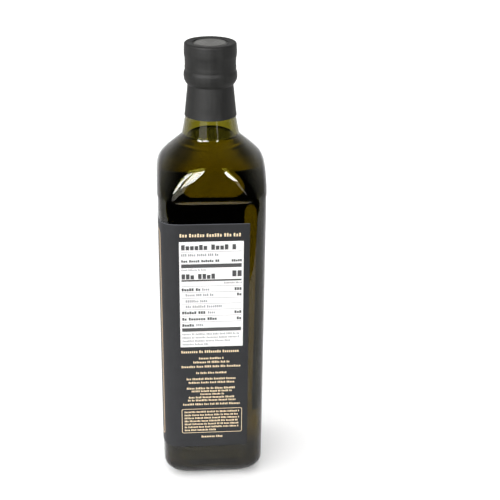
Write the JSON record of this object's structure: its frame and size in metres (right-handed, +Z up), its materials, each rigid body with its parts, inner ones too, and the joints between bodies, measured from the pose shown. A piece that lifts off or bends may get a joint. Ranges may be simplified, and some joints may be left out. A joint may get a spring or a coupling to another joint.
{
  "type": "olive oil bottle",
  "caption": "Full square-sided olive oil bottle of dark green glass with a round shoulder, a slim neck, a screw cap under a black shrink sleeve and a dark label round three faces.",
  "frame": {"origin": "on the ground, under the bottle's axis", "axes": "+Z up along the bottle's axis, -Y out of the seen face with the printed panel, +X out of the bare face"},
  "size_m": [0.0692, 0.0692, 0.2975],
  "materials": {
    "green_glass": "clear dark olive green glass, glossy",
    "olive_oil": "clear deep olive yellow oil",
    "cap_plastic": "dark grey, satin",
    "black_skin": "charcoal black, matte, slightly wrinkled",
    "label_paper": "charcoal paper with plain white, gold and grey bars"
  },
  "bodies": {
    "root": {"bottle_glass": "green_glass", "olive_oil": "olive_oil", "screw_cap": "cap_plastic", "shrink_sleeve": "black_skin", "label_wrap": "label_paper"}
  },
  "joints": []
}
